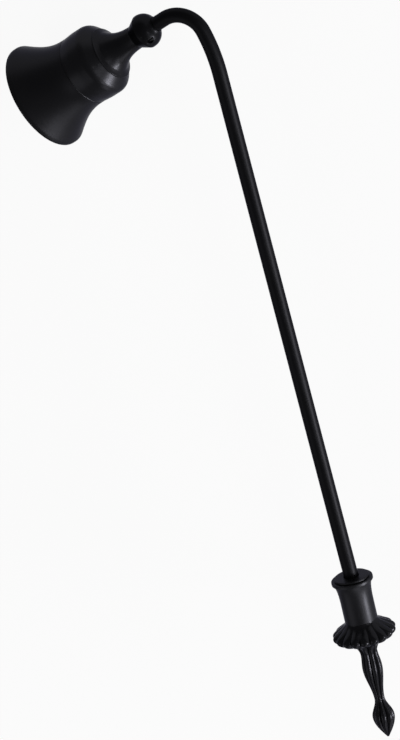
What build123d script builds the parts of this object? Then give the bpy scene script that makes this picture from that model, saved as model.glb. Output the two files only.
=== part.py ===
from build123d import *
from math import atan2, cos, pi, radians, sin, tan
import os

# Candle snuffer lying on its side, in millimetres.
# The origin is the centre of the bell's mouth, in the plane of its rim. The bell's axis runs along +Y,
# the hook and the handle lie in the XY plane, and +Z is up from the table.

# Bell skirt
rim_radius = 20.5
lip_height = 1.5
waist_radius = 13.6
waist_land = 1.7
skirt_height = 21.2
skirt_flare_angle = 33.0
bell_wall = 1.0
spigot_depth = 3.0
seam_bevel = 0.3

# Bell cap
drum_swell = 0.35
drum_swell_height = 4.0
cap_height = 13.0
crown_radius = 10.3
dome_height = 3.6
shoulder_round = 4.0

# Neck
neck_foot_edge = 0.35
neck_foot_rise = 0.95
neck_foot_round = 0.25
neck_root_radius = 8.4
neck_radius = 4.55
neck_height = 13.0
neck_flare_angle = 40.0

# Knop
knop_radius = 6.7
knop_cone_height = 4.0
knop_edge_height = 0.5
knop_edge_round = 0.4
knop_dome_height = 4.1
boss_root_radius = 4.6
boss_radius = 3.1
boss_height = 1.4
boss_flare_angle = 55.0

# Screws, nut and washers
thread_radius = 2.0
thread_clearance = 0.05
hole_clearance = 0.15
screw_head_radius = 3.5
screw_head_height = 2.4
screw_slot_width = 1.0
screw_slot_depth = 1.1
crown_screw_reach = 5.5
tenon_gap = 1.5
washer_radius = 4.5
washer_thickness = 0.8
nut_flats = 7.0
nut_thickness = 3.2
nut_recess_clearance = 0.5
grub_radius = 1.25
grub_length = 3.5
grub_height = 6.8
grub_angle = 33.0
grub_slot_width = 0.5
grub_slot_depth = 0.7

# Rod
rod_radius = 2.82
rod_lead_in = 4.2
hook_radius = 10.0
hook_turn = 99.9
easing_radius = 70.0
easing_turn = 14.6
rod_straight = 205.8
lower_tenon_reach = 7.5

# Ferrule and barrel, which sit a little askew on the rod
handle_lean = 1.6
ferrule_radius = 6.75
ferrule_height = 0.9
ferrule_round = 0.4
socket_depth = 0.5
lip_radius = 7.95
lip_thickness = 1.4
lip_round = 0.35
cove_step = 0.55
cove_height = 8.5
cove_angle = 22.0
barrel_radius = 6.25
barrel_length = 17.0

# Collar, whose grooves deepen from nothing at the barrel to a share of how far it stands out
collar_radius = 12.15
collar_rise = 5.6
collar_fall = 3.0
collar_foot_step = 0.15
collar_lobes = 18
collar_groove_share = 0.2

# Drop, as lengths along its axis and radii over its ridges
flange_radius = 6.3
flange_fall = 5.5
throat_radius = 3.4
bulge_rise = 5.9
bulge_radius = 3.9
stem_length = 13.2
stem_waist_radius = 1.95
bud_rise = 7.3
bud_radius = 4.2
bud_point = 8.7
tip_radius = 0.35
flutes = 8
flute_share = 0.24
flute_swirl = 30.0
blind_hole_spare = 0.5

# Heights along the bell's axis
crown_height = skirt_height + cap_height
knop_seat = crown_height + neck_height
knop_edge_at = knop_seat + knop_cone_height
knop_dome_at = knop_edge_at + knop_edge_height
boss_at = knop_dome_at + knop_dome_height
knop_top = boss_at + boss_height
hook_start = knop_top + rod_lead_in

# Distances along the handle's axis, from the top of the barrel's lip
rod_shoulder_at = socket_depth - ferrule_height
drop_at = barrel_length + collar_rise + collar_fall
nut_at = drop_at - nut_thickness
nut_washer_at = nut_at - washer_thickness

# Sizes that mating pieces share
drum_radius = waist_radius + drum_swell
tapped_radius = thread_radius + thread_clearance
clear_radius = thread_radius + hole_clearance
cap_bore_radius = waist_radius - bell_wall
spigot_radius = cap_bore_radius - thread_clearance
socket_radius = rod_radius + hole_clearance
nut_recess_radius = nut_flats / 2 / cos(pi / 6) + nut_recess_clearance
upper_tenon_reach = neck_height - crown_screw_reach - tenon_gap
total_turn = hook_turn + easing_turn


def turned(*edges):
    """Solid of revolution about Z from outline edges given as (radius, height)."""
    return revolve(Plane.XZ * make_face(edges), Axis.Z)


def pin(radius, low, high):
    """Cylinder on the Z axis between two heights."""
    return Plane.XY.offset(low) * Cylinder(radius, high - low, align=(Align.CENTER, Align.CENTER, Align.MIN))


def flare(start, end, angle):
    """Hollow curve that leaves start at an angle to the axis and runs along the axis at end."""
    corner_height = start[1] + (start[0] - end[0]) / tan(radians(angle))
    corner = (end[0], min(corner_height, end[1]))
    halfway = ((start[0] + corner[0]) / 2, (start[1] + corner[1]) / 2)
    return Bezier(start, halfway, corner, end)


def eased(share):
    """Shares of length and radius on a curve that starts and ends along the axis."""
    return share, (1 - cos(pi * share)) / 2


def dipping(share):
    """Shares of length and radius on a curve that starts steeply and ends along the axis."""
    return share, sin(pi * share / 2)


def pointing(share):
    """Shares of length and radius on a curve that starts along the axis and ends steeply."""
    return share, 1 - cos(pi * share / 2)


def rounding(share):
    """Shares of length and radius on a quarter of an ellipse that ends square to the axis."""
    return sin(pi * share / 2), 1 - cos(pi * share / 2)


def lobed(height, crest, groove, count, turn):
    """Face of outward-bowed arcs that meet in grooves, square to the Z axis at a height."""
    step = 360 / count
    arcs = []
    for lobe in range(count):
        middle = turn + lobe * step
        start = Vector(groove, 0).rotate(Axis.Z, middle - step / 2)
        top = Vector(crest, 0).rotate(Axis.Z, middle)
        end = Vector(groove, 0).rotate(Axis.Z, middle + step / 2)
        arcs.append(ThreePointArc(start, top, end))
    return Plane.XY.offset(height) * make_face(arcs)


def lobed_solid(spans, root, groove_share, count, swirl):
    """Loft along spans of (length, start radius, end radius, curve, steps), with grooves outside a root."""
    whole = sum(span[0] for span in spans)
    stations = [(0, spans[0][1])]
    reached = 0
    for length, start, end, curve, steps in spans:
        for step in range(1, steps + 1):
            length_share, radius_share = curve(step / steps)
            stations.append((reached + length * length_share, start + (end - start) * radius_share))
        reached += length
    faces = []
    for height, crest in stations:
        groove = crest - groove_share * (crest - root)
        faces.append(lobed(height, crest, groove, count, swirl * height / whole))
    return loft(faces)


def hook_point(turn):
    """Point of the rod's centre line where it has turned by so many degrees from the bell's axis."""
    first = min(turn, hook_turn)
    x = hook_radius * (1 - cos(radians(first)))
    y = hook_start + hook_radius * sin(radians(first))
    if turn > hook_turn:
        x += easing_radius * (cos(radians(hook_turn)) - cos(radians(turn)))
        y += easing_radius * (sin(radians(turn)) - sin(radians(hook_turn)))
    return Vector(x, y, 0)


def heading(turn):
    """Direction of the rod where it has turned by so many degrees."""
    return Vector(sin(radians(turn)), cos(radians(turn)), 0)


bend_end = hook_point(total_turn)
rod_axis = heading(total_turn)
handle_axis = heading(total_turn + handle_lean)
lip_centre = bend_end + rod_axis * (rod_straight + ferrule_height)
bell_place = Plane((0, 0, 0), x_dir=(1, 0, 0), z_dir=(0, 1, 0))
handle_place = Plane(lip_centre, x_dir=(0, 0, 1), z_dir=handle_axis)
grub_heading = Vector(sin(radians(grub_angle)), -cos(radians(grub_angle)), 0)
grub_place = Plane((0, 0, knop_seat + grub_height), x_dir=(0, 0, 1), z_dir=grub_heading)


def make_bell_skirt():
    """Flared shell with an upright lip; its top is a spigot inside the cap."""
    lip_top = (rim_radius, lip_height)
    land = (waist_radius, skirt_height - waist_land)
    spigot_top = skirt_height + spigot_depth
    bore = spigot_radius - bell_wall
    inner_lip = (rim_radius - bell_wall, lip_height)
    rim = Polyline(inner_lip, (rim_radius - bell_wall, 0), (rim_radius, 0), lip_top)
    shoulder = Polyline(
        land,
        (waist_radius, skirt_height - seam_bevel),
        (waist_radius - seam_bevel, skirt_height),
        (spigot_radius, skirt_height),
        (spigot_radius, spigot_top),
        (bore, spigot_top),
        (bore, skirt_height - waist_land),
    )
    outside = flare(lip_top, land, skirt_flare_angle)
    inside = flare(inner_lip, (bore, skirt_height - waist_land), skirt_flare_angle)
    return turned(rim, outside, shoulder, inside)


def make_bell_cap():
    """Drum with a rounded shoulder and a conical dome, open below and drilled at the crown."""
    lean = atan2(drum_radius - crown_radius, dome_height)
    swell = skirt_height + drum_swell_height
    corner = crown_height - dome_height
    inner_drum = drum_radius - bell_wall
    inner_crown = crown_radius - bell_wall * tan((pi / 2 - lean) / 2)
    ceiling = crown_height - bell_wall
    belly = TangentArc((drum_radius, swell), (waist_radius, skirt_height + seam_bevel), tangent=(0, -1))
    outside = FilletPolyline(
        (drum_radius, swell),
        (drum_radius, corner),
        (crown_radius, crown_height),
        radius=shoulder_round,
    )
    inside = FilletPolyline(
        (cap_bore_radius, skirt_height + spigot_depth),
        (inner_drum, swell + spigot_depth),
        (inner_drum, corner - bell_wall * tan(lean / 2)),
        (inner_crown, ceiling),
        radius=[0, shoulder_round - bell_wall],
    )
    crown = Polyline(
        (crown_radius, crown_height),
        (clear_radius, crown_height),
        (clear_radius, ceiling),
        (inner_crown, ceiling),
    )
    edge = Polyline(
        (cap_bore_radius, skirt_height + spigot_depth),
        (cap_bore_radius, skirt_height),
        (waist_radius - seam_bevel, skirt_height),
        (waist_radius, skirt_height + seam_bevel),
    )
    return turned(belly, outside, crown, inside, edge)


def make_crown_washer():
    """Plain washer between the crown and the head of the screw."""
    top = crown_height - bell_wall
    low = top - washer_thickness
    return pin(washer_radius, low, top) - pin(clear_radius, low, top)


def make_crown_screw():
    """Slotted screw that holds the neck on the cap."""
    head_top = crown_height - bell_wall - washer_thickness
    head_low = head_top - screw_head_height
    head = pin(screw_head_radius, head_low, head_top)
    shank = pin(thread_radius, head_top, crown_height + crown_screw_reach)
    slot = Box(2 * screw_head_radius, screw_slot_width, 2 * screw_slot_depth)
    return head + shank - Pos(0, 0, head_low) * slot


def make_neck():
    """Foot on the crown and a hollow flare up to the seat of the knop."""
    root = (neck_root_radius, crown_height + neck_foot_edge + neck_foot_rise)
    top = (neck_radius, knop_seat)
    foot = FilletPolyline(
        (tapped_radius, crown_height),
        (crown_radius, crown_height),
        (crown_radius, crown_height + neck_foot_edge),
        root,
        radius=[0, neck_foot_round],
    )
    bore = Polyline(top, (tapped_radius, knop_seat), (tapped_radius, crown_height))
    return turned(foot, flare(root, top, neck_flare_angle), bore)


def make_knop():
    """Bead with a conical underside, a domed top and a flared boss, with a side hole for the grub screw."""
    side = FilletPolyline(
        (clear_radius, knop_seat),
        (neck_radius, knop_seat),
        (knop_radius, knop_edge_at),
        (knop_radius, knop_dome_at),
        radius=[0, knop_edge_round],
    )
    boss_root = (boss_root_radius, boss_at)
    boss_top = (boss_radius, knop_top)
    dome = TangentArc((knop_radius, knop_dome_at), boss_root, tangent=(0, 1))
    boss = flare(boss_root, boss_top, boss_flare_angle)
    bore = Polyline(boss_top, (clear_radius, knop_top), (clear_radius, knop_seat))
    side_hole = grub_place * pin(grub_radius + thread_clearance, thread_radius, knop_radius)
    return turned(side, dome, boss, bore) - side_hole


def make_grub_screw():
    """Headless slotted screw that bears on the rod's tenon."""
    end = thread_radius + grub_length
    slot = Pos(0, 0, end) * Box(2 * grub_radius, grub_slot_width, 2 * grub_slot_depth)
    return grub_place * (pin(grub_radius, thread_radius, end) - slot)


def make_rod():
    """Upper tenon, hooked round rod and lower tenon in one bent length."""
    upper = bell_place * pin(thread_radius, knop_seat - upper_tenon_reach, knop_top)
    hook_middle = hook_turn / 2
    easing_middle = hook_turn + easing_turn / 2
    length = rod_straight + socket_depth + rod_radius * tan(radians(handle_lean))
    path = Line((0, knop_top), hook_point(0))
    path += ThreePointArc(hook_point(0), hook_point(hook_middle), hook_point(hook_turn))
    path += ThreePointArc(hook_point(hook_turn), hook_point(easing_middle), bend_end)
    path += Line(bend_end, bend_end + rod_axis * length)
    bent = sweep(bell_place.offset(knop_top) * Circle(rod_radius), path=path)
    facing = handle_place * pin(ferrule_radius, rod_shoulder_at, rod_shoulder_at + socket_depth)
    lower = handle_place * pin(thread_radius, rod_shoulder_at, drop_at + lower_tenon_reach)
    return upper + (bent - facing) + lower


def make_ferrule():
    """Thin disc round the end of the rod, with a socket that hides the rod's shoulder."""
    disc = FilletPolyline(
        (socket_radius, -ferrule_height),
        (ferrule_radius, -ferrule_height),
        (ferrule_radius, 0),
        (clear_radius, 0),
        radius=[ferrule_round, 0],
    )
    socket = Polyline(
        (clear_radius, 0),
        (clear_radius, rod_shoulder_at),
        (socket_radius, rod_shoulder_at),
        (socket_radius, -ferrule_height),
    )
    return turned(disc, socket)


def make_barrel():
    """Turned grip with a lip and a long cove."""
    cove_start = (lip_radius - cove_step, lip_thickness)
    cove_end = (barrel_radius, lip_thickness + cove_height)
    lip = FilletPolyline(
        (clear_radius, 0),
        (lip_radius, 0),
        (lip_radius, lip_thickness),
        cove_start,
        radius=lip_round,
    )
    rest = Polyline(
        cove_end,
        (barrel_radius, barrel_length),
        (clear_radius, barrel_length),
        (clear_radius, 0),
    )
    return turned(lip, flare(cove_start, cove_end, cove_angle), rest)


def make_collar():
    """Rosette of rounded lobes with a recess underneath for the nut."""
    spans = [
        (collar_rise, barrel_radius, collar_radius, eased, 6),
        (collar_fall, collar_radius, barrel_radius + collar_foot_step, rounding, 4),
    ]
    lobes = lobed_solid(spans, barrel_radius, collar_groove_share, collar_lobes, 0)
    rosette = Pos(0, 0, barrel_length) * lobes
    bore = pin(clear_radius, barrel_length, nut_washer_at)
    recess = pin(nut_recess_radius, nut_washer_at, drop_at)
    facing = pin(collar_radius, drop_at, drop_at + collar_fall)
    return rosette - bore - recess - facing


def make_lock_washer():
    """Washer on the floor of the collar's recess."""
    radius = nut_recess_radius - hole_clearance
    return pin(radius, nut_washer_at, nut_at) - pin(clear_radius, nut_washer_at, nut_at)


def make_lock_nut():
    """Hexagon nut that clamps the handle on the rod."""
    hexagon = RegularPolygon(nut_flats / 2, 6, major_radius=False)
    return extrude(Plane.XY.offset(nut_at) * hexagon, nut_thickness) - pin(tapped_radius, nut_at, drop_at)


def make_drop():
    """Fluted drop, a slim waist and a fluted bud in one casting, tapped from above."""
    spans = [
        (flange_fall, flange_radius, throat_radius, dipping, 5),
        (bulge_rise, throat_radius, bulge_radius, eased, 3),
        (stem_length, bulge_radius, stem_waist_radius, eased, 5),
        (bud_rise, stem_waist_radius, bud_radius, eased, 4),
        (bud_point, bud_radius, tip_radius, pointing, 5),
    ]
    casting = Pos(0, 0, drop_at) * lobed_solid(spans, 0, flute_share, flutes, flute_swirl)
    return casting - pin(tapped_radius, drop_at, drop_at + lower_tenon_reach + blind_hole_spare)


os.makedirs("parts", exist_ok=True)

pieces = {
    "bell_skirt": bell_place * make_bell_skirt(),
    "bell_cap": bell_place * make_bell_cap(),
    "crown_washer": bell_place * make_crown_washer(),
    "crown_screw": bell_place * make_crown_screw(),
    "neck": bell_place * make_neck(),
    "knop": bell_place * make_knop(),
    "grub_screw": bell_place * make_grub_screw(),
    "rod": make_rod(),
    "ferrule": handle_place * make_ferrule(),
    "barrel": handle_place * make_barrel(),
    "collar": handle_place * make_collar(),
    "lock_washer": handle_place * make_lock_washer(),
    "lock_nut": handle_place * make_lock_nut(),
    "drop": handle_place * make_drop(),
}

for name, solid in pieces.items():
    export_step(solid, f"parts/{name}.step")
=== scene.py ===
"""Candle snuffer in satin black paint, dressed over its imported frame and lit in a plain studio."""

import logging
import math
from dataclasses import dataclass
from enum import Enum
from typing import Callable, Sequence

import bmesh
import bpy
from mathutils import Matrix, Vector


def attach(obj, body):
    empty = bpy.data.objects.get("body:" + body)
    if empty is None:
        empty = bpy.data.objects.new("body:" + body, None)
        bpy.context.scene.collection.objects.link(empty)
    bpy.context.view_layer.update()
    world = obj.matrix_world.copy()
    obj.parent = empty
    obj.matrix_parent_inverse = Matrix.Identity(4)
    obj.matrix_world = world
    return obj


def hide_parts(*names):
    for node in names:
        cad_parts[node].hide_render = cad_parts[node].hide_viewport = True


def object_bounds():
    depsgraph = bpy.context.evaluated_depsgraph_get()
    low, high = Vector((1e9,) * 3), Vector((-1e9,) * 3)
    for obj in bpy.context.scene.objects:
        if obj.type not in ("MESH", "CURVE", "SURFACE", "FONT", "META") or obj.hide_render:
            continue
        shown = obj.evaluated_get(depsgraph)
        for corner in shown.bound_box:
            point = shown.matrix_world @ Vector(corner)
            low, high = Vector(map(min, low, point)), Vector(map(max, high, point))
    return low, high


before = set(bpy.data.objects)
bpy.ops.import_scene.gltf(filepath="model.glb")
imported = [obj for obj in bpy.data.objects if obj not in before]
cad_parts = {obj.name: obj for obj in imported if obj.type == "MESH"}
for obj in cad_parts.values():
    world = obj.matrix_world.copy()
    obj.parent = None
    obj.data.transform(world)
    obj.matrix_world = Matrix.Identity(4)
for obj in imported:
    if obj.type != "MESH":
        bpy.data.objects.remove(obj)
CAD_LOW, CAD_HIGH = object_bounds()

MM = 0.001
ONLY_BODY = "root"
SHARP_ANGLE = math.radians(38)
FLARE_STEPS = 28
# A rounded corner takes up less than half of each side beside it.
CORNER_REACH = 0.49

log = logging.getLogger("snuffer")

Point = tuple[float, float]
Colour = tuple[float, float, float]
Direction = tuple[float, float, float]
Ring = list[Vector]
Socket = bpy.types.NodeSocket


class Slot(Enum):
    """Names of material slots for the new pieces, which this script does not use."""

    BELL = "bell_black"
    TURNED = "turned_black"
    ROD = "rod_black"
    CAST = "cast_black"


class Flow(Enum):
    """Ways in which a radius goes from one value to the next along a casting."""

    EASED = "eased"
    DIPPING = "dipping"
    POINTING = "pointing"
    ROUNDING = "rounding"

    def shares(self, share: float) -> Point:
        """Share of the length and share of the change in radius.

        Args:
            share: How far along the span, from 0 to 1.

        Returns:
            The two shares, each from 0 to 1.
        """
        quarter = math.pi * share / 2
        if self is Flow.EASED:
            return share, (1 - math.cos(2 * quarter)) / 2
        if self is Flow.DIPPING:
            return share, math.sin(quarter)
        if self is Flow.POINTING:
            return share, 1 - math.cos(quarter)
        return math.sin(quarter), 1 - math.cos(quarter)


# Meshes


@dataclass(frozen=True)
class Corner:
    """Corner of a turned outline, as a radius from the axis, a height along it and a rounding."""

    radius: float
    height: float
    rounding: float = 0.0


def flare(start: Point, end: Point, angle: float) -> list[Corner]:
    """Hollow curve that leaves start at an angle to the axis and runs along the axis at end.

    Args:
        start: Radius and height of the first point.
        end: Radius and height of the last point, which is the higher one.
        angle: Angle to the axis at the start, in degrees.

    Returns:
        The points of the curve, both ends included.
    """
    reach = (start[0] - end[0]) / math.tan(math.radians(angle))
    corner = Vector((end[0], min(start[1] + reach, end[1])))
    first, last = Vector(start), Vector(end)
    halfway = (first + corner) / 2
    points = []
    for step in range(FLARE_STEPS + 1):
        share = step / FLARE_STEPS
        left = 1 - share
        spot = first * left**3 + halfway * (3 * left * left * share)
        spot += corner * (3 * left * share * share)
        spot += last * share**3
        points.append(Corner(spot.x, spot.y))
    return points


def rounded(corners: Sequence[Corner], steps: int = 6) -> list[Point]:
    """Closed outline with its corners rounded.

    Args:
        corners: Corners in order round the outline.
        steps: Number of stretches in each rounded corner.

    Returns:
        Points of the outline as radius and height.
    """
    points: list[Point] = []
    for index, corner in enumerate(corners):
        spot = Vector((corner.radius, corner.height))
        if corner.rounding <= 0:
            points.append((spot.x, spot.y))
            continue
        before = corners[index - 1]
        after = corners[(index + 1) % len(corners)]
        back = Vector((before.radius, before.height)) - spot
        ahead = Vector((after.radius, after.height)) - spot
        half = back.angle(ahead) / 2
        room = CORNER_REACH * min(back.length, ahead.length)
        reach = min(corner.rounding / math.tan(half), room)
        start = spot + back.normalized() * reach
        end = spot + ahead.normalized() * reach
        for step in range(steps + 1):
            share = step / steps
            bend = start * (1 - share) ** 2 + spot * (2 * share * (1 - share)) + end * share**2
            points.append((bend.x, bend.y))
    return points


def skin(name: str, rings: Sequence[Ring], looped: bool = False) -> bpy.types.Object:
    """Mesh object over a row of rings, closed at its ends or looped back to its first ring.

    Args:
        name: Name of the new object.
        rings: Rings of equally many points.
        looped: Whether the last ring joins the first one.

    Returns:
        The object, linked to the scene, with smooth faces and sharp edges where it turns sharply.
    """
    count = len(rings[0])
    mesh = bmesh.new()
    rows = [[mesh.verts.new(point) for point in ring] for ring in rings]
    pairs = list(zip(rows, rows[1:]))
    if looped:
        pairs.append((rows[-1], rows[0]))
    for low, high in pairs:
        for index in range(count):
            follow = (index + 1) % count
            mesh.faces.new((low[index], low[follow], high[follow], high[index]))
    if not looped:
        for row in (rows[0], rows[-1]):
            pole = mesh.verts.new(sum((vert.co for vert in row), Vector()) / count)
            for index in range(count):
                mesh.faces.new((row[index], row[(index + 1) % count], pole))
    bmesh.ops.recalc_face_normals(mesh, faces=mesh.faces[:])
    for face in mesh.faces:
        face.smooth = True
    for edge in mesh.edges:
        edge.smooth = edge.calc_face_angle(0) < SHARP_ANGLE
    data = bpy.data.meshes.new(name)
    mesh.to_mesh(data)
    mesh.free()
    piece = bpy.data.objects.new(name, data)
    bpy.context.scene.collection.objects.link(piece)
    return piece


def circle(radius: float, height: float, count: int, place: Matrix) -> Ring:
    """Ring of points round the local Z axis.

    Args:
        radius: Radius of the ring.
        height: Height on the local Z axis.
        count: Number of points.
        place: Where the local axes lie.

    Returns:
        The points in the frame of the part.
    """
    return waved(radius, height, count, place, lambda angle: 1.0)


def waved(
    radius: float,
    height: float,
    count: int,
    place: Matrix,
    wave: Callable[[float], float],
    turn: float = 0.0,
) -> Ring:
    """Ring of points whose radius follows a wave round the local Z axis.

    Args:
        radius: Radius over the crests.
        height: Height on the local Z axis.
        count: Number of points.
        place: Where the local axes lie.
        wave: Share of the radius at an angle in radians.
        turn: Angle that the whole ring is turned by, in radians.

    Returns:
        The points in the frame of the part.
    """
    ring = []
    for index in range(count):
        angle = 2 * math.pi * index / count
        reach = radius * wave(angle)
        local = Vector((reach * math.cos(angle + turn), reach * math.sin(angle + turn), height))
        ring.append(place @ local)
    return ring


def lathe(name: str, outline: Sequence[Point], place: Matrix, count: int) -> bpy.types.Object:
    """Turned piece from a closed outline.

    Args:
        name: Name of the new object.
        outline: Points as radius and height, none of them on the axis.
        place: Where the local axes lie.
        count: Points round each ring.

    Returns:
        The object.
    """
    rings = [circle(radius, height, count, place) for radius, height in outline]
    return skin(name, rings, looped=True)


def axes(origin: Vector, x_axis: Vector, z_axis: Vector) -> Matrix:
    """Matrix of a local frame.

    Args:
        origin: Where the frame lies.
        x_axis: Direction of its X axis.
        z_axis: Direction of its Z axis, square to the X axis.

    Returns:
        The matrix from local to part coordinates.
    """
    y_axis = z_axis.cross(x_axis)
    columns = Matrix((x_axis, y_axis, z_axis)).transposed()
    return Matrix.Translation(origin) @ columns.to_4x4()


# Node trees


class Tree:
    """Node tree that is filled one node at a time."""

    def __init__(self, tree: bpy.types.NodeTree) -> None:
        """Keep the tree and empty it."""
        self.tree = tree
        self.tree.nodes.clear()

    def add(self, kind: str, values: dict[str, object] | None = None, **settings: object) -> bpy.types.Node:
        """Add a node.

        Args:
            kind: Type name of the node.
            values: Values of its input sockets by name.
            settings: Properties of the node.

        Returns:
            The new node.
        """
        node = self.tree.nodes.new(kind)
        for key, setting in settings.items():
            setattr(node, key, setting)
        for key, value in (values or {}).items():
            node.inputs[key].default_value = value
        return node

    def wire(self, source: Socket, target: Socket) -> None:
        """Join an output to an input."""
        self.tree.links.new(source, target)

    def feed(self, value: Socket | float, target: Socket) -> None:
        """Join an output to an input, or set the input to a number.

        Args:
            value: A socket or a number.
            target: The input.
        """
        if isinstance(value, Socket):
            self.wire(value, target)
        else:
            target.default_value = value

    def math(self, operation: str, first: Socket | float, second: Socket | float) -> Socket:
        """Add an operation on two values.

        Args:
            operation: Name of the operation.
            first: A socket or a number.
            second: A socket or a number.

        Returns:
            The socket of the result.
        """
        node = self.add("ShaderNodeMath", operation=operation)
        for socket, value in zip(node.inputs, (first, second)):
            self.feed(value, socket)
        return node.outputs[0]

    def noise(self, scale: Socket, detail: float) -> Socket:
        """Add noise over the piece's own coordinates.

        Args:
            scale: Waves in a metre.
            detail: Number of finer layers.

        Returns:
            The socket with values from 0 to 1.
        """
        spot = self.add("ShaderNodeTexCoord")
        node = self.add("ShaderNodeTexNoise", {"Detail": detail})
        self.wire(spot.outputs["Object"], node.inputs["Vector"])
        self.wire(scale, node.inputs["Scale"])
        return node.outputs["Fac"]

    def ramp(self, source: Socket, low: Socket | float, high: Socket | float) -> Socket:
        """Stretch a value so that low gives 0 and high gives 1.

        Args:
            source: The value.
            low: Value that becomes 0.
            high: Value that becomes 1.

        Returns:
            The socket of the stretched value.
        """
        node = self.add("ShaderNodeMapRange", interpolation_type="SMOOTHSTEP")
        self.wire(source, node.inputs["Value"])
        self.feed(low, node.inputs["From Min"])
        self.feed(high, node.inputs["From Max"])
        return node.outputs["Result"]


Fill = Callable[[Tree, bpy.types.Node, bpy.types.Node], None]


def node_group(
    name: str, inputs: dict[str, str], outputs: dict[str, str], fill: Fill
) -> bpy.types.NodeTree:
    """Shader node group, built once and kept by name.

    Args:
        name: Name of the group.
        inputs: Socket type of each input by name.
        outputs: Socket type of each output by name.
        fill: Function that adds the nodes between the group's input and output nodes.

    Returns:
        The group.
    """
    if name in bpy.data.node_groups:
        return bpy.data.node_groups[name]
    group = bpy.data.node_groups.new(name, "ShaderNodeTree")
    for key, kind in inputs.items():
        group.interface.new_socket(name=key, in_out="INPUT", socket_type=kind)
    for key, kind in outputs.items():
        group.interface.new_socket(name=key, in_out="OUTPUT", socket_type=kind)
    tree = Tree(group)
    fill(tree, tree.add("NodeGroupInput"), tree.add("NodeGroupOutput"))
    return group


FLOAT = "NodeSocketFloat"
COLOUR = "NodeSocketColor"
VECTOR = "NodeSocketVector"
CLOUD_DETAIL = 4.0
CLOUD_MIDDLE = 0.5
PATCH_DETAIL = 5.0
PATCH_LOW, PATCH_HIGH = 0.42, 0.66
RELIEF_DETAIL = 3.0


def paint_tone() -> bpy.types.NodeTree:
    """Group that clouds a paint's colour and roughness slightly, as a sprayed coat does."""

    def fill(tree: Tree, given: bpy.types.Node, result: bpy.types.Node) -> None:
        """Wire the group's nodes."""
        cloud = tree.noise(given.outputs["Scale"], CLOUD_DETAIL)
        shade = tree.add("ShaderNodeMix", data_type="RGBA")
        tree.wire(cloud, shade.inputs["Factor"])
        tree.wire(given.outputs["Colour"], shade.inputs["A"])
        tree.wire(given.outputs["Lighter"], shade.inputs["B"])
        swing = tree.math("SUBTRACT", cloud, CLOUD_MIDDLE)
        swing = tree.math("MULTIPLY", swing, given.outputs["Spread"])
        tree.wire(shade.outputs["Result"], result.inputs["Colour"])
        tree.wire(tree.math("ADD", given.outputs["Roughness"], swing), result.inputs["Roughness"])

    inputs = {"Colour": COLOUR, "Lighter": COLOUR, "Scale": FLOAT, "Roughness": FLOAT, "Spread": FLOAT}
    return node_group("paint_tone", inputs, {"Colour": COLOUR, "Roughness": FLOAT}, fill)


def edge_rub() -> bpy.types.NodeTree:
    """Group that masks the raised edges that handling rubs, broken up by noise."""

    def fill(tree: Tree, given: bpy.types.Node, result: bpy.types.Node) -> None:
        """Wire the group's nodes."""
        bend = tree.add("ShaderNodeNewGeometry")
        edge = tree.ramp(bend.outputs["Pointiness"], given.outputs["From"], given.outputs["To"])
        patch = tree.ramp(tree.noise(given.outputs["Scale"], PATCH_DETAIL), PATCH_LOW, PATCH_HIGH)
        worn = tree.math("MULTIPLY", edge, patch)
        tree.wire(tree.math("MULTIPLY", worn, given.outputs["Amount"]), result.inputs["Mask"])

    inputs = {"From": FLOAT, "To": FLOAT, "Scale": FLOAT, "Amount": FLOAT}
    return node_group("edge_rub", inputs, {"Mask": FLOAT}, fill)


def paint_relief() -> bpy.types.NodeTree:
    """Group that gives the height of a worked and sprayed surface: fine peel and faint tool lines."""

    def fill(tree: Tree, given: bpy.types.Node, result: bpy.types.Node) -> None:
        """Wire the group's nodes."""
        peel = tree.noise(given.outputs["Peel scale"], RELIEF_DETAIL)
        spot = tree.add("ShaderNodeTexCoord")
        along = tree.add("ShaderNodeVectorMath", operation="DOT_PRODUCT")
        tree.wire(spot.outputs["Object"], along.inputs[0])
        tree.wire(given.outputs["Axis"], along.inputs[1])
        lines = tree.add("ShaderNodeTexNoise", {"Detail": RELIEF_DETAIL}, noise_dimensions="1D")
        tree.wire(along.outputs["Value"], lines.inputs["W"])
        tree.wire(given.outputs["Line scale"], lines.inputs["Scale"])
        peel_height = tree.math("MULTIPLY", peel, given.outputs["Peel"])
        line_height = tree.math("MULTIPLY", lines.outputs["Fac"], given.outputs["Lines"])
        tree.wire(tree.math("ADD", peel_height, line_height), result.inputs["Height"])

    inputs = {"Peel scale": FLOAT, "Peel": FLOAT, "Axis": VECTOR, "Line scale": FLOAT, "Lines": FLOAT}
    return node_group("paint_relief", inputs, {"Height": FLOAT}, fill)


# Finishes


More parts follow.
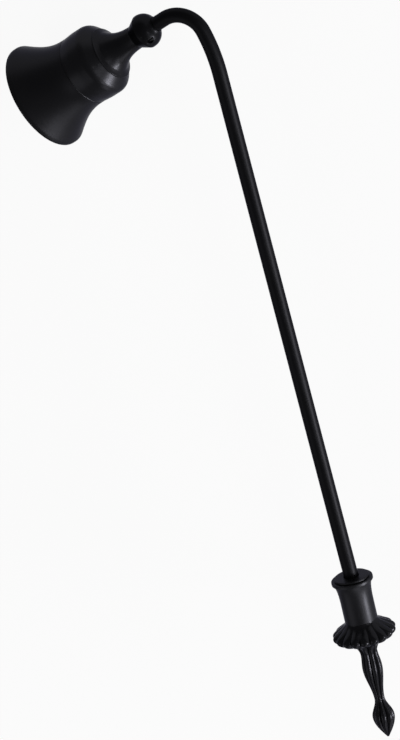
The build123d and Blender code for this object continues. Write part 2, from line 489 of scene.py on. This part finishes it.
@dataclass(frozen=True)
class Finish:
    """Finish of worked metal: a clouded colour and roughness over a fine relief.

    Attributes:
        name: Name of the material.
        colour: Darker colour.
        lighter: Lighter colour.
        clouds: Clouds in a metre.
        metal: Share of metal.
        roughness: Mean roughness.
        spread: How far the roughness swings.
        peel: Height of the fine peel, as a share of the relief.
        peel_scale: Waves of the peel in a metre.
        lines: Height of the tool lines, as a share of the relief.
        line_scale: Tool lines in a metre.
        axis: Direction along which the tool lines follow each other.
        bump: Strength of the relief.
        bump_height: Height of the relief.
    """

    name: str
    colour: Colour
    lighter: Colour
    clouds: float
    metal: float
    roughness: float
    spread: float
    peel: float
    peel_scale: float
    lines: float
    line_scale: float
    axis: Direction
    bump: float
    bump_height: float

    def shine(self) -> dict[str, object]:
        """Values of the shader that are the same all over."""
        return {"Metallic": self.metal}

    def shade(self, tree: Tree, tone: Socket) -> Socket:
        """Colour of the surface, which is the clouded one unless a finish wears."""
        return tone

    def material(self) -> bpy.types.Material:
        """Material of this finish, built once and kept by name.

        Returns:
            The material.
        """
        if self.name in bpy.data.materials:
            return bpy.data.materials[self.name]
        material = bpy.data.materials.new(self.name)
        material.use_nodes = True
        tree = Tree(material.node_tree)
        tone_values = {
            "Colour": (*self.colour, 1),
            "Lighter": (*self.lighter, 1),
            "Scale": self.clouds,
            "Roughness": self.roughness,
            "Spread": self.spread,
        }
        relief_values = {
            "Peel scale": self.peel_scale,
            "Peel": self.peel,
            "Axis": self.axis,
            "Line scale": self.line_scale,
            "Lines": self.lines,
        }
        tone = tree.add("ShaderNodeGroup", tone_values, node_tree=paint_tone())
        relief = tree.add("ShaderNodeGroup", relief_values, node_tree=paint_relief())
        bump = tree.add("ShaderNodeBump", {"Strength": self.bump, "Distance": self.bump_height})
        tree.wire(relief.outputs["Height"], bump.inputs["Height"])
        shader = tree.add("ShaderNodeBsdfPrincipled", self.shine())
        tree.wire(self.shade(tree, tone.outputs["Colour"]), shader.inputs["Base Color"])
        tree.wire(tone.outputs["Roughness"], shader.inputs["Roughness"])
        tree.wire(bump.outputs["Normal"], shader.inputs["Normal"])
        surface = tree.add("ShaderNodeOutputMaterial")
        tree.wire(shader.outputs["BSDF"], surface.inputs["Surface"])
        return material


@dataclass(frozen=True)
class SatinPaint(Finish):
    """Satin black paint with a metal pigment, rubbed on its raised edges.

    Attributes:
        index: Refractive index of the coat.
        gloss: Strength of the clear reflections, 0.5 for plain varnish.
        tint: Colour of the reflections near the outline, where the pigment dims them.
        rub: How bare the raised edges are.
        rub_from: Pointiness at which the rubbing begins.
        rub_to: Pointiness at which it is full.
        rub_scale: Rubbed patches in a metre.
        bare: Colour of the metal under the rubbed paint.
    """

    colour: Colour = (0.0130, 0.0130, 0.0148)
    lighter: Colour = (0.0170, 0.0170, 0.0194)
    clouds: float = 90.0
    metal: float = 0.75
    roughness: float = 0.33
    spread: float = 0.10
    peel: float = 0.6
    peel_scale: float = 1400.0
    lines: float = 0.4
    line_scale: float = 2600.0
    axis: Direction = (0.0, 1.0, 0.0)
    bump: float = 0.12
    bump_height: float = 0.15 * MM
    index: float = 1.46
    gloss: float = 0.2
    tint: Colour = (0.42, 0.42, 0.47)
    rub: float = 0.35
    rub_from: float = 0.52
    rub_to: float = 0.60
    rub_scale: float = 420.0
    bare: Colour = (0.05, 0.05, 0.055)

    def shine(self) -> dict[str, object]:
        """Values of the shader that are the same all over.

        Returns:
            The values by socket.
        """
        return {
            "Metallic": self.metal,
            "IOR": self.index,
            "Specular IOR Level": self.gloss,
            "Specular Tint": (*self.tint, 1),
        }

    def shade(self, tree: Tree, tone: Socket) -> Socket:
        """Colour of the coat with the metal that shows where it is rubbed.

        Args:
            tree: Node tree of the material.
            tone: Colour of the whole coat.

        Returns:
            The socket of the colour.
        """
        values = {"From": self.rub_from, "To": self.rub_to, "Scale": self.rub_scale, "Amount": self.rub}
        worn = tree.add("ShaderNodeGroup", values, node_tree=edge_rub())
        colour = tree.add("ShaderNodeMix", data_type="RGBA")
        tree.wire(worn.outputs["Mask"], colour.inputs["Factor"])
        tree.wire(tone, colour.inputs["A"])
        colour.inputs["B"].default_value = (*self.bare, 1)
        return colour.outputs["Result"]


@dataclass(frozen=True)
class BareSteel(Finish):
    """Bare steel of the fasteners, with fine lathe marks."""

    colour: Colour = (0.30, 0.30, 0.31)
    lighter: Colour = (0.48, 0.48, 0.49)
    clouds: float = 300.0
    metal: float = 1.0
    roughness: float = 0.34
    spread: float = 0.2
    peel: float = 0.3
    peel_scale: float = 2500.0
    lines: float = 0.8
    line_scale: float = 6000.0
    axis: Direction = (0.0, 1.0, 0.0)
    bump: float = 0.2
    bump_height: float = 0.1 * MM


def dress(piece: bpy.types.Object, node: str, finish: Finish) -> None:
    """Give a new piece its finish, let it ride on the part and let it stand for its node.

    Args:
        piece: The new piece.
        node: Node of the frame that it replaces.
        finish: Its finish.
    """
    piece.data.materials.clear()
    piece.data.materials.append(finish.material())
    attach(piece, ONLY_BODY)
    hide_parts(node)
    log.info("%s: %d faces", piece.name, len(piece.data.polygons))


def coat_node(node: str, finish: Finish) -> None:
    """Give a node of the frame a better finish.

    Args:
        node: Name of the node.
        finish: Its finish.
    """
    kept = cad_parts[node]
    for slot in kept.material_slots:
        slot.material = finish.material()
    log.info("%s: kept from the frame", node)


# Sub-assemblies


@dataclass
class Bell:
    """Flared bell of two shells, its neck and its knop, on the +Y axis from the mouth at the origin."""

    rim_radius: float = 20.5 * MM
    lip_height: float = 1.5 * MM
    lip_edge: float = 0.35 * MM
    waist_radius: float = 13.6 * MM
    waist_land: float = 1.7 * MM
    skirt_height: float = 21.2 * MM
    skirt_angle: float = 33.0
    wall: float = 1.0 * MM
    spigot_depth: float = 3.0 * MM
    seam_bevel: float = 0.16 * MM
    fit: float = 0.05 * MM
    drum_radius: float = 13.95 * MM
    belly_height: float = 4.0 * MM
    belly_round: float = 25.0 * MM
    cap_height: float = 13.0 * MM
    crown_radius: float = 10.3 * MM
    crown_edge: float = 0.2 * MM
    dome_height: float = 3.6 * MM
    shoulder_round: float = 4.0 * MM
    foot_edge: float = 0.35 * MM
    foot_rise: float = 0.95 * MM
    foot_round: float = 0.25 * MM
    neck_root: float = 8.4 * MM
    neck_radius: float = 4.55 * MM
    neck_height: float = 13.0 * MM
    neck_angle: float = 40.0
    bore_radius: float = 2.15 * MM
    shell_points: int = 192
    neck_points: int = 160
    shoulder_steps: int = 12
    spinning: SatinPaint = SatinPaint(
        "spun_black_skirt",
        colour=(0.0115, 0.0115, 0.0131),
        lighter=(0.0150, 0.0150, 0.0171),
        roughness=0.40,
        lines=0.5,
    )
    shell: SatinPaint = SatinPaint("spun_black_cap", lines=0.5)
    turning: SatinPaint = SatinPaint(
        "turned_black_bell", colour=(0.0110, 0.0110, 0.0125), lighter=(0.0144, 0.0144, 0.0164), lines=0.35
    )
    bead: SatinPaint = SatinPaint(
        "turned_black_knop",
        colour=(0.0075, 0.0075, 0.0086),
        lighter=(0.0098, 0.0098, 0.0112),
        gloss=0.12,
        lines=0.35,
    )

    def __post_init__(self) -> None:
        """Work out the heights that the pieces share."""
        self.place = axes(Vector(), Vector((1, 0, 0)), Vector((0, 1, 0)))
        self.crown = self.skirt_height + self.cap_height
        self.seat = self.crown + self.neck_height

    def skirt(self) -> bpy.types.Object:
        """Lower shell, from the upright lip to the spigot inside the cap.

        Returns:
            The piece.
        """
        inner_rim = self.rim_radius - self.wall
        land = self.skirt_height - self.waist_land
        spigot = self.waist_radius - self.wall - self.fit
        bore = spigot - self.wall
        top = self.skirt_height + self.spigot_depth
        outside = flare((self.rim_radius, self.lip_height), (self.waist_radius, land), self.skirt_angle)
        inside = flare((inner_rim, self.lip_height), (bore, land), self.skirt_angle)
        corners = [
            Corner(inner_rim, 0, self.lip_edge),
            Corner(self.rim_radius, 0, self.lip_edge),
            *outside,
            Corner(self.waist_radius, self.skirt_height - self.seam_bevel, self.seam_bevel / 3),
            Corner(self.waist_radius - self.seam_bevel, self.skirt_height),
            Corner(spigot, self.skirt_height),
            Corner(spigot, top),
            Corner(bore, top),
            *reversed(inside),
        ]
        return lathe("bell_skirt_shell", rounded(corners), self.place, self.shell_points)

    def cap(self) -> bpy.types.Object:
        """Upper shell: drum, rounded shoulder and conical dome.

        Returns:
            The piece.
        """
        low = self.skirt_height
        swell = low + self.belly_height
        corner = self.crown - self.dome_height
        lean = math.atan2(self.drum_radius - self.crown_radius, self.dome_height)
        inner_drum = self.drum_radius - self.wall
        inner_crown = self.crown_radius - self.wall * math.tan((math.pi / 2 - lean) / 2)
        ceiling = self.crown - self.wall
        inner_corner = corner - self.wall * math.tan(lean / 2)
        bore = self.waist_radius - self.wall
        corners = [
            Corner(bore, low),
            Corner(self.waist_radius - self.seam_bevel, low),
            Corner(self.waist_radius, low + self.seam_bevel, self.seam_bevel / 3),
            Corner(self.drum_radius, swell, self.belly_round),
            Corner(self.drum_radius, corner, self.shoulder_round),
            Corner(self.crown_radius, self.crown, self.crown_edge),
            Corner(self.bore_radius, self.crown),
            Corner(self.bore_radius, ceiling),
            Corner(inner_crown, ceiling, self.wall / 2),
            Corner(inner_drum, inner_corner, self.shoulder_round - self.wall),
            Corner(inner_drum, swell + self.spigot_depth, self.belly_round),
            Corner(bore, low + self.spigot_depth),
        ]
        return lathe("bell_cap_shell", rounded(corners, self.shoulder_steps), self.place, self.shell_points)

    def neck(self) -> bpy.types.Object:
        """Foot on the crown and the hollow flare up to the knop.

        Returns:
            The piece.
        """
        edge = self.crown + self.foot_edge
        root = (self.neck_root, edge + self.foot_rise)
        bore = self.bore_radius - 2 * self.fit
        corners = [
            Corner(bore, self.crown),
            Corner(self.crown_radius, self.crown, self.foot_round / 2),
            Corner(self.crown_radius, edge, self.foot_round),
            *flare(root, (self.neck_radius, self.seat), self.neck_angle),
            Corner(bore, self.seat),
        ]
        return lathe("neck_turning", rounded(corners), self.place, self.neck_points)

    def build(self) -> None:
        """Build and dress every piece of the bell."""
        dress(self.skirt(), "bell_skirt", self.spinning)
        dress(self.cap(), "bell_cap", self.shell)
        dress(self.neck(), "neck", self.turning)
        coat_node("knop", self.bead)


@dataclass
class Rod:
    """Round rod with a hook at the bell, between a tenon in the knop and a tenon in the handle."""

    start: float = 57.2 * MM
    tenon_radius: float = 2.0 * MM
    tenon_reach: float = 16.0 * MM
    radius: float = 2.82 * MM
    lead_in: float = 4.2 * MM
    hook_radius: float = 10.0 * MM
    hook_turn: float = 99.9
    easing_radius: float = 70.0 * MM
    easing_turn: float = 14.6
    straight: float = 206.3 * MM
    lower_tenon: float = 33.5 * MM
    handle_lean: float = 1.6
    ring_points: int = 64
    ring_step: float = 0.8 * MM
    paint: SatinPaint = SatinPaint(
        "rod_black_paint",
        colour=(0.0070, 0.0070, 0.0080),
        lighter=(0.0092, 0.0092, 0.0105),
        gloss=0.10,
        lines=0.0,
        peel=0.8,
        roughness=0.45,
    )

    @staticmethod
    def heading(turn: float) -> Vector:
        """Direction of the rod where it has turned by so many radians."""
        return Vector((math.sin(turn), math.cos(turn), 0))

    @property
    def handle_heading(self) -> Vector:
        """Direction of the handle, which sits a little askew on the rod."""
        return self.heading(math.radians(self.hook_turn + self.easing_turn + self.handle_lean))

    @property
    def hook_length(self) -> float:
        """Length of the tight bend."""
        return self.hook_radius * math.radians(self.hook_turn)

    @property
    def easing_length(self) -> float:
        """Length of the gentle bend after it."""
        return self.easing_radius * math.radians(self.easing_turn)

    @property
    def length(self) -> float:
        """Length of the rod between its two tenons."""
        return self.lead_in + self.hook_length + self.easing_length + self.straight

    def at(self, distance: float) -> tuple[Vector, float]:
        """Point and turn of the centre line.

        Args:
            distance: Distance from the shoulder on the knop.

        Returns:
            The point and the turn from the bell's axis, in radians.
        """
        tight = math.radians(self.hook_turn)
        whole = tight + math.radians(self.easing_turn)
        if distance <= self.lead_in:
            return Vector((0, self.start + distance, 0)), 0.0
        bend = min((distance - self.lead_in) / self.hook_radius, tight)
        x = self.hook_radius * (1 - math.cos(bend))
        y = self.start + self.lead_in + self.hook_radius * math.sin(bend)
        rest = distance - self.lead_in - self.hook_length
        if rest <= 0:
            return Vector((x, y, 0)), bend
        turn = min(tight + rest / self.easing_radius, whole)
        x += self.easing_radius * (math.cos(tight) - math.cos(turn))
        y += self.easing_radius * (math.sin(turn) - math.sin(tight))
        beyond = max(rest - self.easing_length, 0)
        return Vector((x, y, 0)) + self.heading(turn) * beyond, turn

    def ring(self, distance: float, ahead: Vector, radius: float, offset: float = 0.0) -> Ring:
        """Ring round the rod.

        Args:
            distance: Distance of the centre line's point from the shoulder on the knop.
            ahead: Direction that the ring is square to.
            radius: Radius of the ring.
            offset: How far the ring is moved ahead of that point.

        Returns:
            The points of the ring.
        """
        spot, _ = self.at(distance)
        place = axes(spot, Vector((0, 0, 1)), ahead)
        return circle(radius, offset, self.ring_points, place)

    def build(self) -> None:
        """Build and dress the rod."""
        steps = math.ceil(self.length / self.ring_step)
        stations = [self.length * step / steps for step in range(steps)]
        shoulder = self.heading(0)
        rings = [self.ring(0, shoulder, self.tenon_radius, offset) for offset in (-self.tenon_reach, 0)]
        for station in stations:
            _, turn = self.at(station)
            rings.append(self.ring(station, self.heading(turn), self.radius))
        end, handle = self.length, self.handle_heading
        rings.append(self.ring(end, handle, self.radius))
        rings += [self.ring(end, handle, self.tenon_radius, offset) for offset in (0, self.lower_tenon)]
        dress(skin("hooked_rod", rings), "rod", self.paint)


@dataclass(frozen=True)
class Span:
    """Stretch of a casting in which the radius over the crests goes from one value to the next."""

    length: float
    start: float
    end: float
    flow: Flow
    steps: int


@dataclass
class Handle:
    """Ferrule, barrel, collar and drop, a little askew on the end of the rod."""

    rod: Rod
    ferrule_radius: float = 6.75 * MM
    ferrule_height: float = 0.9 * MM
    ferrule_edge: float = 0.4 * MM
    socket_depth: float = 0.5 * MM
    socket_radius: float = 2.97 * MM
    bore_radius: float = 2.15 * MM
    lip_radius: float = 7.95 * MM
    lip_thickness: float = 1.4 * MM
    lip_edge: float = 0.35 * MM
    cove_step: float = 0.55 * MM
    cove_height: float = 8.5 * MM
    cove_angle: float = 22.0
    barrel_radius: float = 6.25 * MM
    barrel_edge: float = 0.1 * MM
    barrel_length: float = 17.0 * MM
    collar_radius: float = 12.15 * MM
    collar_rise: float = 5.6 * MM
    collar_fall: float = 3.0 * MM
    collar_foot_step: float = 0.15 * MM
    collar_lobes: int = 18
    collar_groove: float = 0.2
    recess_radius: float = 4.54 * MM
    recess_depth: float = 4.0 * MM
    flange_radius: float = 6.3 * MM
    flange_fall: float = 5.5 * MM
    throat_radius: float = 3.4 * MM
    bulge_rise: float = 5.9 * MM
    bulge_radius: float = 3.9 * MM
    stem_length: float = 13.2 * MM
    waist_radius: float = 1.95 * MM
    bud_rise: float = 7.3 * MM
    bud_radius: float = 4.2 * MM
    bud_point: float = 8.7 * MM
    tip_radius: float = 0.35 * MM
    flutes: int = 8
    flute_depth: float = 0.24
    flute_swirl: float = 30.0
    blind_depth: float = 8.0 * MM
    blind_radius: float = 2.05 * MM
    lobe_fullness: float = 0.85
    ferrule_points: int = 128
    barrel_points: int = 160
    lobe_points: int = 16
    flute_points: int = 24

    def __post_init__(self) -> None:
        """Work out where the handle lies and the finishes that follow its axis."""
        lip, _ = self.rod.at(self.rod.length + self.ferrule_height - self.socket_depth)
        ahead = self.rod.handle_heading
        self.place = axes(lip, Vector((0, 0, 1)), ahead)
        self.drop_at = self.barrel_length + self.collar_rise + self.collar_fall
        self.turning = SatinPaint(
            "turned_black_handle",
            colour=(0.0155, 0.0155, 0.0177),
            lighter=(0.0200, 0.0200, 0.0228),
            roughness=0.40,
            axis=tuple(ahead),
            lines=0.35,
        )
        self.casting = SatinPaint(
            "cast_black_handle",
            colour=(0.0105, 0.0105, 0.0120),
            lighter=(0.0140, 0.0140, 0.0160),
            roughness=0.24,
            axis=tuple(ahead),
            lines=0.0,
            peel=1.0,
            rub=0.2,
        )

    def ferrule(self) -> bpy.types.Object:
        """Thin disc round the end of the rod.

        Returns:
            The piece.
        """
        top = -self.ferrule_height
        shoulder = top + self.socket_depth
        corners = [
            Corner(self.socket_radius, top, self.ferrule_edge / 4),
            Corner(self.ferrule_radius, top, self.ferrule_edge),
            Corner(self.ferrule_radius, 0, self.ferrule_edge / 2),
            Corner(self.bore_radius, 0),
            Corner(self.bore_radius, shoulder),
            Corner(self.socket_radius, shoulder),
        ]
        return lathe("ferrule_disc", rounded(corners), self.place, self.ferrule_points)

    def barrel(self) -> bpy.types.Object:
        """Turned grip with a lip and a long cove.

        Returns:
            The piece.
        """
        cove = flare(
            (self.lip_radius - self.cove_step, self.lip_thickness),
            (self.barrel_radius, self.lip_thickness + self.cove_height),
            self.cove_angle,
        )
        corners = [
            Corner(self.bore_radius, 0),
            Corner(self.lip_radius, 0, self.lip_edge),
            Corner(self.lip_radius, self.lip_thickness, self.lip_edge),
            *cove,
            Corner(self.barrel_radius, self.barrel_length, self.barrel_edge),
            Corner(self.bore_radius, self.barrel_length),
        ]
        return lathe("barrel_grip", rounded(corners), self.place, self.barrel_points)

    def fluted(
        self,
        spans: Sequence[Span],
        base: float,
        root: float,
        lobes: int,
        depth: float,
        swirl: float,
        count: int,
    ) -> list[Ring]:
        """Rings of a lobed casting.

        Args:
            spans: Stretches of the casting in order.
            base: Height of its first ring on the handle's axis.
            root: Radius at which the grooves run out.
            lobes: Number of lobes round it.
            depth: Depth of the grooves as a share of how far the crests stand out from the root.
            swirl: Turn of the lobes from end to end, in degrees.
            count: Points round each ring.

        Returns:
            The rings in order along the axis.
        """
        whole = sum(span.length for span in spans)
        stations: list[Point] = [(0.0, spans[0].start)]
        reached = 0.0
        for span in spans:
            for step in range(1, span.steps + 1):
                along, change = span.flow.shares(step / span.steps)
                radius = span.start + (span.end - span.start) * change
                stations.append((reached + span.length * along, radius))
            reached += span.length
        rings = []
        for height, radius in stations:
            groove = depth * (radius - root) / radius

            def lobe(angle: float, groove: float = groove) -> float:
                """Share of the crest's radius at an angle."""
                return 1 - groove * (1 - abs(math.cos(lobes * angle / 2)) ** self.lobe_fullness)

            turn = math.radians(swirl) * height / whole
            rings.append(waved(radius, base + height, count, self.place, lobe, turn))
        return rings

    def collar(self) -> bpy.types.Object:
        """Rosette of rounded lobes, bored for the rod and recessed for the nut.

        Returns:
            The piece.
        """
        root = self.barrel_radius
        foot = root + self.collar_foot_step
        spans = [
            Span(self.collar_rise, root, self.collar_radius, Flow.EASED, steps=28),
            Span(self.collar_fall, self.collar_radius, foot, Flow.ROUNDING, steps=18),
        ]
        count = self.collar_lobes * self.lobe_points
        outer = self.fluted(
            spans,
            base=self.barrel_length,
            root=root,
            lobes=self.collar_lobes,
            depth=self.collar_groove,
            swirl=0.0,
            count=count,
        )
        floor = self.drop_at - self.recess_depth
        hollow = [
            circle(self.recess_radius, self.drop_at, count, self.place),
            circle(self.recess_radius, floor, count, self.place),
            circle(self.bore_radius, floor, count, self.place),
            circle(self.bore_radius, self.barrel_length, count, self.place),
        ]
        return skin("collar_rosette", [*outer, *hollow], looped=True)

    def drop(self) -> bpy.types.Object:
        """Fluted drop, slim waist and fluted bud in one casting.

        Returns:
            The piece.
        """
        spans = [
            Span(self.flange_fall, self.flange_radius, self.throat_radius, Flow.DIPPING, steps=18),
            Span(self.bulge_rise, self.throat_radius, self.bulge_radius, Flow.EASED, steps=14),
            Span(self.stem_length, self.bulge_radius, self.waist_radius, Flow.EASED, steps=28),
            Span(self.bud_rise, self.waist_radius, self.bud_radius, Flow.EASED, steps=24),
            Span(self.bud_point, self.bud_radius, self.tip_radius, Flow.POINTING, steps=26),
        ]
        count = self.flutes * self.flute_points
        outer = self.fluted(
            spans,
            base=self.drop_at,
            root=0.0,
            lobes=self.flutes,
            depth=self.flute_depth,
            swirl=self.flute_swirl,
            count=count,
        )
        hole = [
            circle(self.blind_radius, self.drop_at + self.blind_depth, count, self.place),
            circle(self.blind_radius, self.drop_at, count, self.place),
        ]
        return skin("fluted_drop", [*hole, *outer])

    def build(self) -> None:
        """Build and dress every piece of the handle."""
        dress(self.ferrule(), "ferrule", self.turning)
        dress(self.barrel(), "barrel", self.turning)
        dress(self.collar(), "collar", self.casting)
        dress(self.drop(), "drop", self.casting)


@dataclass
class Fasteners:
    """Screws, nut and washers that the frame already has in their right shape."""

    bare: BareSteel = BareSteel("bare_steel")
    blackened: SatinPaint = SatinPaint(
        "blackened_steel", lighter=(0.04, 0.04, 0.044), roughness=0.38, rub=0.8
    )

    def build(self) -> None:
        """Dress every fastener."""
        for node in ("crown_screw", "crown_washer", "lock_washer", "lock_nut"):
            coat_node(node, self.bare)
        coat_node("grub_screw", self.blackened)


# Studio


@dataclass(frozen=True)
class SoftBox:
    """Rectangular lamp that faces the middle of the part.

    Attributes:
        name: Name of the lamp.
        azimuth: Direction it stands in, in degrees from +X towards +Y.
        elevation: Height of that direction above the floor, in degrees.
        distance: Distance from the middle of the part.
        width: Width of the lamp.
        height: Height of the lamp.
        watts: Power of the lamp.
    """

    name: str
    azimuth: float
    elevation: float
    distance: float
    width: float
    height: float
    watts: float

    def build(self, target: Vector) -> None:
        """Add the lamp to the scene.

        Args:
            target: Point that it faces.
        """
        away = direction(self.azimuth, self.elevation)
        lamp = bpy.data.lights.new(self.name, "AREA")
        lamp.shape = "RECTANGLE"
        lamp.size = self.width
        lamp.size_y = self.height
        lamp.energy = self.watts
        stand = bpy.data.objects.new(self.name, lamp)
        stand.location = target + away * self.distance
        stand.rotation_mode = "QUATERNION"
        stand.rotation_quaternion = away.to_track_quat("Z", "Y")
        bpy.context.scene.collection.objects.link(stand)


def direction(azimuth: float, elevation: float) -> Vector:
    """Direction from the part.

    Args:
        azimuth: Degrees from +X towards +Y.
        elevation: Degrees above the floor.

    Returns:
        A vector of length one.
    """
    round_z, rise = math.radians(azimuth), math.radians(elevation)
    return Vector((math.cos(round_z) * math.cos(rise), math.sin(round_z) * math.cos(rise), math.sin(rise)))


@dataclass
class Studio:
    """Pale floor, soft lamps, plain world and the camera at the photograph's angle.

    The camera is placed so that the middle of the bell's mouth falls on its place in the picture.
    """

    picture_width: int = 400
    picture_height: int = 740
    mouth_x: float = 43.25
    mouth_y: float = 96.58
    focal_pixels: float = 12000.0
    mouth_depth: float = 4.455
    azimuth: float = 107.48
    elevation: float = 58.204
    roll: float = -142.222
    sensor: float = 36.0
    near_clip: float = 0.05
    far_clip: float = 60.0
    floor_size: float = 12.0
    floor_grey: float = 0.86
    floor_glow: float = 0.92
    world_grey: float = 0.25
    lamps: tuple[SoftBox, ...] = (
        SoftBox("key_box", azimuth=40, elevation=7, distance=1.2, width=0.36, height=0.22, watts=15.5),
        SoftBox("rim_box", azimuth=28, elevation=30, distance=1.2, width=0.30, height=0.30, watts=1.6),
        SoftBox("side_box", azimuth=75, elevation=30, distance=1.2, width=0.35, height=0.35, watts=1.4),
        SoftBox("edge_box", azimuth=-3, elevation=16, distance=1.2, width=0.80, height=0.50, watts=3.0),
        SoftBox("top_box", azimuth=-82, elevation=42, distance=1.3, width=0.90, height=0.90, watts=2.6),
    )

    def camera(self) -> None:
        """Add the camera."""
        back = direction(self.azimuth, self.elevation)
        level_up = (Vector((0, 0, 1)) - back * back.z).normalized()
        level_right = level_up.cross(back)
        roll = math.radians(self.roll)
        right = level_right * math.cos(roll) + level_up * math.sin(roll)
        up = level_up * math.cos(roll) - level_right * math.sin(roll)
        scale = self.mouth_depth / self.focal_pixels
        across = (self.mouth_x - self.picture_width / 2) * scale
        rise = (self.picture_height / 2 - self.mouth_y) * scale
        lens = bpy.data.cameras.new("studio_camera")
        lens.sensor_fit = "VERTICAL"
        lens.sensor_width = self.sensor
        lens.sensor_height = self.sensor
        lens.lens = self.focal_pixels / self.picture_height * self.sensor
        lens.clip_start = self.near_clip
        lens.clip_end = self.far_clip
        stand = bpy.data.objects.new("studio_camera", lens)
        spot = back * self.mouth_depth - right * across - up * rise
        stand.matrix_world = Matrix.Translation(spot) @ Matrix((right, up, back)).transposed().to_4x4()
        bpy.context.scene.collection.objects.link(stand)
        bpy.context.scene.camera = stand

    def floor(self) -> None:
        """Add the pale floor, which shows white and keeps a soft shadow."""
        half = self.floor_size / 2
        low = CAD_LOW.z
        data = bpy.data.meshes.new("floor")
        corners = [(-half, -half, low), (half, -half, low), (half, half, low), (-half, half, low)]
        data.from_pydata(corners, [], [(0, 1, 2, 3)])
        floor = bpy.data.objects.new("floor", data)
        bpy.context.scene.collection.objects.link(floor)
        material = bpy.data.materials.new("pale_floor")
        material.use_nodes = True
        tree = Tree(material.node_tree)
        grey = (self.floor_grey, self.floor_grey, self.floor_grey, 1)
        matt = tree.add("ShaderNodeBsdfDiffuse", {"Color": grey})
        glow = tree.add("ShaderNodeEmission", {"Color": (1, 1, 1, 1), "Strength": 1.0})
        ray = tree.add("ShaderNodeLightPath")
        seen = tree.math("MAXIMUM", ray.outputs["Is Camera Ray"], ray.outputs["Is Glossy Ray"])
        seen = tree.math("MAXIMUM", seen, ray.outputs["Is Transmission Ray"])
        share = tree.math("MULTIPLY", seen, self.floor_glow)
        mixed = tree.add("ShaderNodeMixShader")
        tree.wire(share, mixed.inputs["Fac"])
        tree.wire(matt.outputs["BSDF"], mixed.inputs[1])
        tree.wire(glow.outputs["Emission"], mixed.inputs[2])
        surface = tree.add("ShaderNodeOutputMaterial")
        tree.wire(mixed.outputs["Shader"], surface.inputs["Surface"])
        data.materials.append(material)

    def world(self) -> None:
        """Set a plain grey world."""
        world = bpy.data.worlds.new("studio_world")
        world.use_nodes = True
        tree = Tree(world.node_tree)
        grey = tree.add("ShaderNodeBackground", {"Color": (1, 1, 1, 1), "Strength": self.world_grey})
        surface = tree.add("ShaderNodeOutputWorld")
        tree.wire(grey.outputs["Background"], surface.inputs["Surface"])
        bpy.context.scene.world = world

    def build(self) -> None:
        """Set up the floor, the light and the camera."""
        bpy.context.scene.view_settings.view_transform = "Standard"
        self.floor()
        self.world()
        middle = (CAD_LOW + CAD_HIGH) / 2
        for lamp in self.lamps:
            lamp.build(middle)
        self.camera()


def main() -> None:
    """Build the snuffer, dress it and set up the studio."""
    logging.basicConfig(level=logging.INFO, format="%(name)s: %(message)s")
    rod = Rod()
    Bell().build()
    rod.build()
    Handle(rod).build()
    Fasteners().build()
    Studio().build()


if __name__ == "__main__":
    main()
